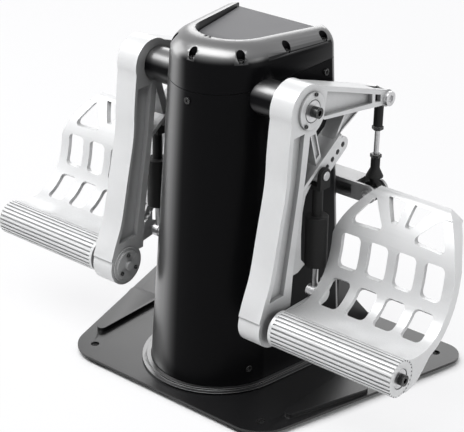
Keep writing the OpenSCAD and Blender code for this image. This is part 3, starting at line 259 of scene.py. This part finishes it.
def powder_coat(name, colour, roughness, specular=0.5, crown=0.0):
    """Black powder coat: orange-peel bumps, faint clouding, dust, and edges paler from rubbing and a painted
    highlight.

    Crown is how far it is lacquered on top and where it is seen at a slant.
    """
    finish = Finish(name)
    peel = finish.noise(900.0, 2.0, 0.55)
    cloud = finish.noise(18.0, 4.0)
    dust = finish.noise(160.0, 5.0, 0.7)
    edge = finish.edges(0.0010)
    pale = toned(colour, 1.9, 0.012)
    base = finish.mix(dust.between(0.62, 0.85) * 0.18, colour, pale)
    # Paler edges: partly rubbed, partly a painted highlight
    base = finish.mix(edge * 0.2, base, pale)
    rough = roughness + cloud * 0.06 + peel * 0.05 - edge * 0.06
    bumps = finish.bump(peel, 0.00005, 0.45)
    polish = 0.0
    if crown:
        polish = (finish.upward(0.25, 0.7) + finish.slanting(0.3, 0.58)).clipped() * crown
    return finish.shade(base, rough, 0.0, bumps, coat=polish, specular=specular)


def machined_steel(name, colour, roughness, stretch=(1.0, 1.0, 1.0)):
    """Turned or drawn metal: fine lines along one way, small spots, and a painted highlight that brightens the
    edges.
    """
    finish = Finish(name)
    lines = finish.noise(2600.0, 2.0, 0.5, stretch)
    spots = finish.noise(240.0, 4.0, 0.6)
    edge = finish.edges(0.0006)
    base = finish.mix(spots.between(0.4, 0.7), colour, toned(colour, 0.82))
    # Painted highlight: edges brightened
    base = finish.mix(edge * 0.6, base, toned(colour, 1.2))
    rough = roughness + lines * 0.14 + spots * 0.06
    return finish.shade(base, rough, 0.95, finish.bump(lines, 0.00002, 0.4))


def black_oxide(name, colour):
    """Blackened screws: dark, slightly oily steel, with a painted highlight that brightens its edges."""
    finish = Finish(name)
    spots = finish.noise(700.0, 3.0, 0.6)
    edge = finish.edges(0.0005)
    # Painted highlight: edges brightened towards grey
    base = finish.mix(edge * 0.7, colour, grey(0.32))
    rough = 0.2 + spots * 0.12
    return finish.shade(base, rough, 0.1, finish.bump(spots, 0.00002, 0.4))


def moulded_plastic(name, colour):
    """Moulded plastic: an etched grain of fine pores, a faint sheen difference, paler clouds and a painted
    highlight on its edges.
    """
    finish = Finish(name)
    pores = finish.cells(2600.0)
    cloud = finish.noise(40.0, 4.0)
    edge = finish.edges(0.0006)
    # Paler clouds of the plastic's own tone, and paler edges: partly rubbed, partly a painted highlight
    clouding_and_edge_highlight = cloud.between(0.3, 0.75) * 0.35 + edge * 0.35
    base = finish.mix(clouding_and_edge_highlight, colour, toned(colour, 1.7, 0.006))
    rough = 0.5 + cloud * 0.1 + pores * 0.08
    return finish.shade(base, rough, 0.0, finish.bump(pores, 0.00004, 0.5), specular=0.25)


def soft_rubber(name, colour):
    """Matt rubber: coarse pores and pale bloom in patches."""
    finish = Finish(name)
    pores = finish.noise(2200.0, 3.0, 0.7)
    bloom = finish.noise(90.0, 5.0, 0.65)
    base = finish.mix(bloom.between(0.45, 0.75) * 0.5, colour, grey(0.075))
    rough = 0.78 + bloom * 0.12
    return finish.shade(base, rough, 0.0, finish.bump(pores, 0.00008, 0.6), specular=0.3)


def solder_board(name, colour):
    """Green circuit board: faint tracks under the mask and small pale pads."""
    finish = Finish(name)
    tracks = finish.node("ShaderNodeTexBrick", values={
        "Vector": finish.place(), "Scale": 240.0, "Mortar Size": 0.08,
        "Color1": colour, "Color2": toned(colour, 0.8), "Mortar": toned(colour, 1.6)})
    pads = finish.cells(420.0)
    base = finish.mix((1.0 - pads.between(0.12, 0.2)) * 0.6, tracks, grey(0.5))
    return finish.shade(base, 0.32 + pads * 0.1, 0.0, finish.bump(pads, 0.00005, 0.4))


# Joining a node's loose triangles: how close points merge, and how flat faces join, in degrees
MERGE_DISTANCE = 2e-6
FLAT_ANGLE = 0.6


def shade(mesh, angle):
    """Smooth shading with every edge sharper than the angle in degrees kept crisp."""
    mesh.polygons.foreach_set("use_smooth", np.ones(len(mesh.polygons), bool))
    mesh.set_sharp_from_angle(angle=math.radians(angle))


def stand(name, content):
    """Puts a mesh, lamp or camera into the scene as an object of that name."""
    thing = bpy.data.objects.new(name, content)
    bpy.context.scene.collection.objects.link(thing)
    return thing


def turned(profile, start, axis, sides):
    """A turned shape of a profile's rings: p = start + radius a(t) + height axis.

    A ring is a circle of points a(t) about the axis, and faces join each ring to the next. A cap
    closes the first and the last ring.
    """
    profile = np.asarray(profile, float)
    axis = axis / np.linalg.norm(axis)
    aside = np.cross(axis, (1.0, 0.0, 0.0))
    aside /= np.linalg.norm(aside)
    other = np.cross(axis, aside)
    angle = np.linspace(0.0, 2.0 * math.pi, sides, endpoint=False)
    ring = np.cos(angle)[:, None] * aside + np.sin(angle)[:, None] * other
    points = start + profile[:, None, :1] * ring[None] + profile[:, None, 1:] * axis
    row, column = np.meshgrid(np.arange(len(profile) - 1), np.arange(sides), indexing="ij")
    here = row * sides + column
    beside = row * sides + (column + 1) % sides
    walls = np.stack([here, beside, beside + sides, here + sides], -1).reshape(-1, 4).tolist()
    last = (len(profile) - 1) * sides
    caps = [list(range(sides - 1, -1, -1)), list(range(last, last + sides))]
    return points.reshape(-1, 3), walls + caps


def merged_copy(node):
    """A copy of a CAD node with its loose triangles joined and its flat faces made whole."""
    mesh = NODES[node].data.copy()
    mesh.name = node + "_rounded"
    shape = bmesh.new()
    shape.from_mesh(mesh)
    bmesh.ops.remove_doubles(shape, verts=shape.verts, dist=MERGE_DISTANCE)
    bmesh.ops.dissolve_limit(shape, angle_limit=math.radians(FLAT_ANGLE), verts=shape.verts,
                             edges=shape.edges)
    shape.to_mesh(mesh)
    shape.free()
    return stand(mesh.name, mesh)


def between_planes(middles, planes):
    """Which points lie between two distances from the middle plane."""
    out = np.abs(middles[:, 0])
    return (out > planes[0]) & (out < planes[1])


def soften(node, width, finish, segments=2, normals_at=None, steel=None):
    """Stands a copy in for a CAD node: its sharp edges are rounded, or it follows known normals.

    Steel says, from the middles of the faces, which of them are bare steel instead.
    """
    piece = merged_copy(node)
    mesh = piece.data
    mesh.materials.clear()
    mesh.materials.append(finish_named(finish))
    if steel:
        mesh.materials.append(finish_named("steel"))
        middles = np.empty(len(mesh.polygons) * 3)
        mesh.polygons.foreach_get("center", middles)
        chosen = steel(middles.reshape(-1, 3)).astype(np.int32)
        mesh.polygons.foreach_set("material_index", chosen)
    shade(mesh, SHARP_ANGLE)
    if normals_at:
        true_normals(mesh, normals_at)
    else:
        bevel = piece.modifiers.new("Rounded edges", "BEVEL")
        bevel.width = width
        bevel.segments = segments
        bevel.limit_method = "ANGLE"
        bevel.angle_limit = math.radians(SHARP_ANGLE)
        bevel.use_clamp_overlap = True
        bevel.harden_normals = True
        bevel.miter_outer = "MITER_ARC"
    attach(piece, BODY_OF[node])
    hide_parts(node)


# The column: how far it narrows upwards, its heights, its back, and its foot's arc and half width
TAPER = 0.2
COLUMN_LOW, COLUMN_HIGH = 0.007, 0.346
BACK_Y, FOOT_AXIS_Y = 0.054, -0.0375
FOOT_R, BACK_HALF = 0.068, 0.084

# Faces further than this, in degrees, from the skin's own normal are no part of the skin
SKIN_TOLERANCE = 4.0


def column_normals(points):
    """Outward normal of the column's skin: round in front, straight sides, narrowing upwards.

    A point p = O + s(z) (q - O) comes from a point q of the foot's outline, where O is the middle
    of the back edge. It has the outline's own normal n, tilted up by TAPER / height times
    n . (q - O).
    """
    height = COLUMN_HIGH - COLUMN_LOW
    depth = BACK_Y - FOOT_AXIS_Y
    scale = 1.0 - TAPER * (points[:, 2] - COLUMN_LOW) / height
    axis = BACK_Y - depth * scale
    limit = math.atan2(depth, BACK_HALF) - math.acos(FOOT_R / math.hypot(BACK_HALF, depth))
    angle = np.minimum(np.arctan2(points[:, 1] - axis, np.abs(points[:, 0])), limit)
    across = np.cos(angle) * np.sign(points[:, 0])
    along = np.sin(angle)
    reach = (across * points[:, 0] + along * (points[:, 1] - BACK_Y)) / scale
    normals = np.stack([across, along, TAPER / height * reach], -1)
    return normals / np.linalg.norm(normals, axis=1, keepdims=True)


def true_normals(mesh, normals_at):
    """Gives each face corner that lies along a known surface that surface's own normal."""
    corners = np.empty(len(mesh.loops) * 3)
    mesh.corner_normals.foreach_get("vector", corners)
    corners = corners.reshape(-1, 3)
    vertex = np.empty(len(mesh.loops), int)
    mesh.loops.foreach_get("vertex_index", vertex)
    points = np.empty(len(mesh.vertices) * 3)
    mesh.vertices.foreach_get("co", points)
    faces = np.empty(len(mesh.polygons) * 3)
    mesh.polygons.foreach_get("normal", faces)
    sizes = np.empty(len(mesh.polygons), int)
    mesh.polygons.foreach_get("loop_total", sizes)
    exact = normals_at(points.reshape(-1, 3)[vertex])
    flat = np.repeat(faces.reshape(-1, 3), sizes, axis=0)
    near = (exact * flat).sum(1) > math.cos(math.radians(SKIN_TOLERANCE))
    corners[near] = exact[near]
    mesh.normals_split_custom_set(corners.tolist())


def coat_node(node, finish):
    """Gives a CAD node a finish and leaves its shape alone."""
    material = finish_named(finish)
    mesh = NODES[node].data
    if mesh.materials:
        for slot in NODES[node].material_slots:
            slot.link = "OBJECT"
            slot.material = material
    else:
        mesh.materials.append(material)


MATERIALS = {}


def finish_named(key):
    """The finish of that name, made once from the panel's colours."""
    looks = bpy.context.scene.pedal_looks
    cast = solid(looks.cast_colour)
    makers = {
        "cast": lambda: cast_alloy("satin_cast_alloy", cast),
        # The heel bar's ribs get paler edges: more polish from use and more painted highlight
        "roller": lambda: cast_alloy("ribbed_alloy", cast, edge_wear_and_highlight=0.8),
        "beam": lambda: cast_alloy("silver_beam", grey(0.55)),
        "column": lambda: powder_coat("column_coat", solid(looks.column_colour),
                                      looks.column_roughness, specular=0.06, crown=1.0),
        "base": lambda: powder_coat("base_coat", solid(looks.base_colour), 0.26),
        "panel": lambda: powder_coat("panel_coat", solid(looks.panel_colour), 0.5),
        "steel": lambda: machined_steel("bright_steel", grey(0.62), 0.22),
        "rod": lambda: machined_steel("drawn_rod", grey(0.55), 0.2, (1.0, 1.0, 0.06)),
        "oxide": lambda: black_oxide("black_screws", grey(0.006)),
        "plastic": lambda: moulded_plastic("black_plastic", grey(0.007)),
        "rubber": lambda: soft_rubber("black_rubber", grey(0.022)),
        "board": lambda: solder_board("green_board", (0.02, 0.16, 0.06, 1.0)),
    }
    if key not in MATERIALS:
        MATERIALS[key] = makers[key]()
    return MATERIALS[key]


class PedalLooks(bpy.types.PropertyGroup):
    """Sizes and colours of the looks that a user would change."""

    cast_colour: bpy.props.FloatVectorProperty(
        name="Cast alloy", description="Colour of arms, foot plates and levers", subtype="COLOR",
        size=3, min=0.0, max=1.0, default=(0.78, 0.785, 0.79))
    column_colour: bpy.props.FloatVectorProperty(
        name="Column", description="Colour of the column's powder coat", subtype="COLOR", size=3,
        min=0.0, max=1.0, default=(0.0025, 0.0025, 0.003))
    column_roughness: bpy.props.FloatProperty(
        name="Column roughness", description="How matt the column's coat is", subtype="FACTOR",
        min=0.0, max=1.0, default=0.27)
    base_colour: bpy.props.FloatVectorProperty(
        name="Base plate", description="Colour of the base plate", subtype="COLOR", size=3,
        min=0.0, max=1.0, default=(0.006, 0.006, 0.0065))
    panel_colour: bpy.props.FloatVectorProperty(
        name="Top panel", description="Colour of the plain plate on top", subtype="COLOR", size=3,
        min=0.0, max=1.0, default=(0.09, 0.09, 0.095))
    edge_width: bpy.props.FloatProperty(
        name="Edge radius", description="How far the castings' edges are rounded",
        subtype="DISTANCE", unit="LENGTH", min=0.0, max=0.003, default=0.0009)
    floor_colour: bpy.props.FloatVectorProperty(
        name="Floor", description="Colour of the studio floor", subtype="COLOR", size=3,
        min=0.0, max=1.0, default=(0.86, 0.86, 0.86))
    lamp_level: bpy.props.FloatProperty(
        name="Lamp level", description="Strength of all lamps together", subtype="FACTOR",
        min=0.1, max=4.0, default=1.0)


class PEDALS_OT_casing(bpy.types.Operator):
    """Column, cap, top panel, rear panel and the ring round the foot, with rounded edges"""

    bl_idname = "pedals.casing"
    bl_label = "Casing"

    def execute(self, context):
        soften("column_shell", 0.0, "column", normals_at=column_normals)
        soften("top_cap", COVER_EDGE, "column")
        soften("foot_ring", TRIM_EDGE, "column")
        soften("top_panel", SMALL_EDGE, "panel")
        soften("rear_panel", TRIM_EDGE, "panel")
        soften("shaft_sleeves", COVER_EDGE, "column")
        soften("rocker_bracket", COVER_EDGE, "column")
        soften("cable_socket", SMALL_EDGE, "plastic")
        return {"FINISHED"}


class PEDALS_OT_base(bpy.types.Operator):
    """Base plate with its pressed pads, braces and rubber feet"""

    bl_idname = "pedals.base"
    bl_label = "Base"

    def execute(self, context):
        soften("base_plate", COVER_EDGE, "base")
        soften("rear_braces", COVER_EDGE, "base")
        soften("rubber_feet", SMALL_EDGE, "rubber")
        soften("swing_stops", TRIM_EDGE, "rubber")
        return {"FINISHED"}


class PEDALS_OT_arms(bpy.types.Operator):
    """Arm castings with their horns and rails, flanges and covers"""

    bl_idname = "pedals.arms"
    bl_label = "Arms"

    def execute(self, context):
        width = context.scene.pedal_looks.edge_width
        for side, _ in SIDES:
            soften(side + "_arm", width, "cast", segments=3)
            soften(side + "_pivot_flange", width * 0.5, "cast")
            soften(side + "_axle_cover", width * 0.5, "cast")
        return {"FINISHED"}


class PEDALS_OT_footplates(bpy.types.Operator):
    """Lattice foot plates, ribbed heel bars and brake levers"""

    bl_idname = "pedals.footplates"
    bl_label = "Foot plates"

    def execute(self, context):
        width = context.scene.pedal_looks.edge_width
        for side, _ in SIDES:
            soften(side + "_footplate", width, "cast", segments=3)
            soften(side + "_heel_bar", width * 0.3, "roller")
            soften(side + "_brake_lever", width * 0.6, "cast")
        return {"FINISHED"}


# Lock nuts: radius and height of each ring, how far below the horn's pin each nut starts, and the
# way of the push rod. Their six sides are told apart above the angle, in degrees.
NUT_PROFILE = ((0.0050, 0.0), (0.0057, 0.0006), (0.0057, 0.0036), (0.0050, 0.0042))
NUT_DROPS = (0.0342, 0.0630)
NUT_SIDES = 6
NUT_SHARP_ANGLE = 20.0
ROD_AXIS = np.array((0.0, 0.04120, 0.99915))


class PEDALS_OT_linkage(bpy.types.Operator):
    """Rocker beam, push rods' ends and the lock nuts against them"""

    bl_idname = "pedals.linkage"
    bl_label = "Linkage"

    def add_nuts(self, side, sign):
        """Two nuts on a push rod: each is a profile turned about the rod in six steps."""
        pin = HORN_TIP * (sign, 1.0, 1.0)
        nuts = [turned(NUT_PROFILE, pin - drop * ROD_AXIS, ROD_AXIS, NUT_SIDES)
                for drop in NUT_DROPS]
        count = len(NUT_PROFILE) * NUT_SIDES
        points = np.concatenate([nut[0] for nut in nuts])
        faces = [[corner + i * count for corner in face]
                 for i, nut in enumerate(nuts) for face in nut[1]]
        mesh = bpy.data.meshes.new(side + "_rod_nuts")
        mesh.from_pydata(points.tolist(), [], faces)
        mesh.materials.append(finish_named("oxide"))
        mesh.validate()
        shade(mesh, NUT_SHARP_ANGLE)
        piece = stand(mesh.name, mesh)
        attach(piece, side + "_rod")

    def execute(self, context):
        soften("rocker_beam", COVER_EDGE, "beam")
        for side, sign in SIDES:
            soften(side + "_rod_ends", SMALL_EDGE, "plastic")
            self.add_nuts(side, sign)
        return {"FINISHED"}


# Above this height the damper body's node holds nothing but its bolt
DAMPER_BOLT_Z = 0.2155


class PEDALS_OT_dampers(bpy.types.Operator):
    """Damper bodies with their bolts, and clevises"""

    bl_idname = "pedals.dampers"
    bl_label = "Dampers"

    def execute(self, context):
        for side, _ in SIDES:
            soften(side + "_damper_body", COVER_EDGE, "plastic",
                   steel=lambda middles: middles[:, 2] > DAMPER_BOLT_Z)
            soften(side + "_damper_clevis", TRIM_EDGE, "plastic")
        return {"FINISHED"}


# Distances from the middle plane between which a screw's node holds its washer
SHAFT_WASHER = (0.1052, 0.10801)
ARM_WASHER = (0.2440, 0.24691)

STEEL_NODES = ("chassis_frame", "pivot_shaft", "rocker_bearings", "centring_spring",
               "rocker_axle", "rocker_screw", "rod_bolts", "sensor_magnet")
STEEL_PARTS = ("arm_bearings", "heel_axle", "horn_pin", "lever_bolt", "brake_spring")
ROD_PARTS = ("push_rod", "damper_rod")


class PEDALS_OT_metalwork(bpy.types.Operator):
    """Screws with rounded edges, and pins, rods, bearings and inner pieces in their CAD shape"""

    bl_idname = "pedals.metalwork"
    bl_label = "Metalwork"

    def execute(self, context):
        for node in ("brace_bolts", "casing_screws"):
            soften(node, SCREW_EDGE, "oxide")
        soften("shaft_screws", SCREW_EDGE, "oxide",
               steel=lambda middles: between_planes(middles, SHAFT_WASHER))
        for node in STEEL_NODES:
            coat_node(node, "steel")
        coat_node("sensor_board", "board")
        for side, _ in SIDES:
            soften(side + "_arm_screws", FINE_EDGE, "oxide",
                   steel=lambda middles: between_planes(middles, ARM_WASHER))
            for part in STEEL_PARTS:
                coat_node(side + "_" + part, "steel")
            for part in ROD_PARTS:
                coat_node(side + "_" + part, "rod")
        return {"FINISHED"}


# The photograph's camera: where it looks, from which way in degrees, how far off, its lens and
# sensor in mm, and the end of its sight
CAMERA_TARGET = np.array((0.01341, -0.033, 0.1632))
CAMERA_AZIMUTH, CAMERA_HEIGHT, CAMERA_ROLL = 40.46, 26.22, -0.15
CAMERA_DISTANCE = 1.50755
CAMERA_LENS = 122.44
SENSOR_WIDTH = 36.0
SIGHT_END = 50.0

# The surroundings: half the floor's side, how much of it is white where it is seen, how narrow the
# gaps are that stay dark, and the grey light from all around
FLOOR_REACH = 6.0
FLOOR_GLOW = 0.86
DARK_GAP = 0.01
AMBIENT = 0.06

# Lamps: place, the way its width runs, width and height, watts
LAMP_TARGET = (0.0, -0.03, 0.2)
LAMPS = {
    "overhead": ((-0.25, -0.62, 1.70), (1.0, 0.1, 0.0), (2.0, 0.85), 33.0),
    "left_softbox": ((-1.5, -0.3, 0.6), (0.0, 1.0, 0.0), (1.1, 0.9), 8.0),
    "right_softbox": ((1.8, 0.1, 0.8), (0.0, 1.0, 0.0), (0.9, 0.7), 9.0),
    "back_rim": ((-0.94, 1.42, 0.95), (0.86, 0.5, 0.0), (1.2, 0.7), 7.0),
}


def aimed(place, along):
    """Matrix that stands a lamp at place, its width along one way, and points it at the pedals."""
    back = (Vector(place) - Vector(LAMP_TARGET)).normalized()
    up = back.cross(Vector(along)).normalized()
    turn = Matrix((up.cross(back), up, back)).transposed().to_4x4()
    return Matrix.Translation(place) @ turn


class PEDALS_OT_stage(bpy.types.Operator):
    """Pale floor, soft lamps, white surroundings and the photograph's camera"""

    bl_idname = "pedals.stage"
    bl_label = "Stage"

    def add_floor(self, colour):
        """A flat square under the feet, white where it is seen but for shadows and narrow gaps."""
        far = FLOOR_REACH
        corners = [(-far, -far, 0.0), (far, -far, 0.0), (far, far, 0.0), (-far, far, 0.0)]
        mesh = bpy.data.meshes.new("floor")
        mesh.from_pydata(corners, [], [(0, 1, 2, 3)])
        finish = Finish("pale_floor")
        mottle = finish.noise(3.0, 3.0).between(0.3, 0.7) * 0.2
        matt = finish.node("ShaderNodeBsdfPrincipled", values={
            "Base Color": finish.mix(mottle, colour, toned(colour, 0.97)),
            "Roughness": 0.7, "Specular IOR Level": 0.2})
        glow = finish.node("ShaderNodeEmission", values={"Color": grey(1.0), "Strength": 1.0})
        share = finish.seen() * (1.0 - finish.hollow(DARK_GAP)) * FLOOR_GLOW
        both = finish.node("ShaderNodeMixShader", values={0: share, 1: matt, 2: glow})
        finish.ends("ShaderNodeOutputMaterial", both)
        mesh.materials.append(finish.material)
        stand("floor", mesh)

    def add_world(self):
        """White for the camera and for mirrored rays, a soft grey light for all others."""
        world = bpy.data.worlds.new("studio")
        bpy.context.scene.world = world
        world.use_nodes = True
        studio = Shading(world.node_tree)
        soft = studio.node("ShaderNodeBackground", values={
            "Color": (0.92, 0.95, 1.0, 1.0), "Strength": AMBIENT})
        white = studio.node("ShaderNodeBackground", values={
            "Color": grey(1.0), "Strength": 1.0})
        both = studio.node("ShaderNodeMixShader", values={0: studio.seen(), 1: soft, 2: white})
        studio.ends("ShaderNodeOutputWorld", both)

    def add_lamp(self, name, place, along, size, power):
        """A rectangular lamp that looks at the pedals."""
        lamp = bpy.data.lights.new(name, "AREA")
        lamp.shape = "RECTANGLE"
        lamp.size, lamp.size_y = size
        lamp.energy = power
        stand(name, lamp).matrix_world = aimed(place, along)

    def add_camera(self):
        """The photograph's camera, from its target, angles and distance."""
        azimuth, height, roll = np.radians((CAMERA_AZIMUTH, CAMERA_HEIGHT, CAMERA_ROLL))
        level = np.array((math.sin(azimuth), -math.cos(azimuth), 0.0))
        back = math.cos(height) * level + (0.0, 0.0, math.sin(height))
        right = np.array((math.cos(azimuth), math.sin(azimuth), 0.0))
        up = np.cross(back, right)
        side = math.cos(roll) * right + math.sin(roll) * up
        top = -math.sin(roll) * right + math.cos(roll) * up
        lens = bpy.data.cameras.new("photo_camera")
        lens.sensor_fit = "HORIZONTAL"
        lens.sensor_width = SENSOR_WIDTH
        lens.lens = CAMERA_LENS
        lens.clip_end = SIGHT_END
        camera = stand("photo_camera", lens)
        turn = Matrix(np.stack([side, top, back], -1).tolist()).to_4x4()
        camera.matrix_world = Matrix.Translation(CAMERA_TARGET + back * CAMERA_DISTANCE) @ turn
        bpy.context.scene.camera = camera

    def execute(self, context):
        looks = context.scene.pedal_looks
        self.add_floor(solid(looks.floor_colour))
        self.add_world()
        for name, (place, along, size, power) in LAMPS.items():
            self.add_lamp(name, place, along, size, power * looks.lamp_level)
        self.add_camera()
        context.scene.view_settings.view_transform = "Standard"
        return {"FINISHED"}


STEPS = (PEDALS_OT_stage, PEDALS_OT_casing, PEDALS_OT_base, PEDALS_OT_arms, PEDALS_OT_footplates,
         PEDALS_OT_linkage, PEDALS_OT_dampers, PEDALS_OT_metalwork)


class PEDALS_PT_panel(bpy.types.Panel):
    """Lists the steps that dress the pedals"""

    bl_idname = "PEDALS_PT_panel"
    bl_label = "Rudder pedals"
    bl_space_type = "VIEW_3D"
    bl_region_type = "UI"
    bl_category = "Pedals"

    def draw(self, context):
        looks = context.scene.pedal_looks
        for name in PedalLooks.__annotations__:
            self.layout.prop(looks, name)
        for step in STEPS:
            self.layout.operator(step.bl_idname)


CLASSES = (PedalLooks, PEDALS_PT_panel) + STEPS


def register():
    for cls in CLASSES:
        bpy.utils.register_class(cls)
    bpy.types.Scene.pedal_looks = bpy.props.PointerProperty(type=PedalLooks)


def unregister():
    del bpy.types.Scene.pedal_looks
    for cls in reversed(CLASSES):
        bpy.utils.unregister_class(cls)


def main():
    register()
    for step in STEPS:
        area, name = step.bl_idname.split(".")
        getattr(getattr(bpy.ops, area), name)()
    bpy.context.view_layer.update()


if __name__ == "__main__":
    main()
